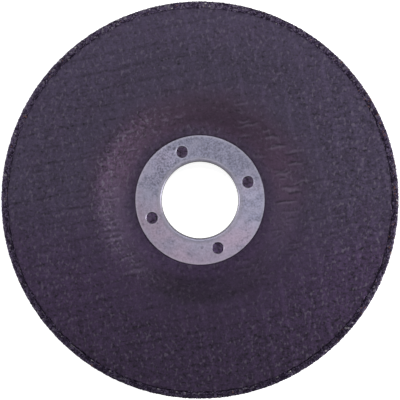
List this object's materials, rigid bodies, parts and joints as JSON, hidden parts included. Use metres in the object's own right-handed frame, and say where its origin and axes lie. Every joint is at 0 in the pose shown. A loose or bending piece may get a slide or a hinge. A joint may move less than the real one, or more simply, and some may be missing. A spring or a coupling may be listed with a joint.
{
  "type": "depressed-centre grinding disc",
  "caption": "Bonded abrasive disc with a cranked section, a raised hub, a fibrous facing sheet in the recess side and a metal ring that lines the bore.",
  "frame": {"origin": "centre of the bore on the back face of the raised hub, the face that the disc lies on", "axes": "+Z along the bore axis, out of the recess side; +X to the right and +Y up as the recess side is seen with its first small ring hole just above the right"},
  "size_m": [0.115, 0.115, 0.0106],
  "materials": {
    "bonded_grain": "dark abrasive grain in resin, rough, with light specks",
    "facing_fibre": "matt dark violet-grey fibre sheet with the imprint of a glass mesh",
    "ring_steel": "dull mottled zinc-plated sheet steel"
  },
  "bodies": {
    "root": {"abrasive_body": "bonded_grain", "facing_sheet": "facing_fibre", "arbor_ring": "ring_steel"}
  },
  "joints": []
}
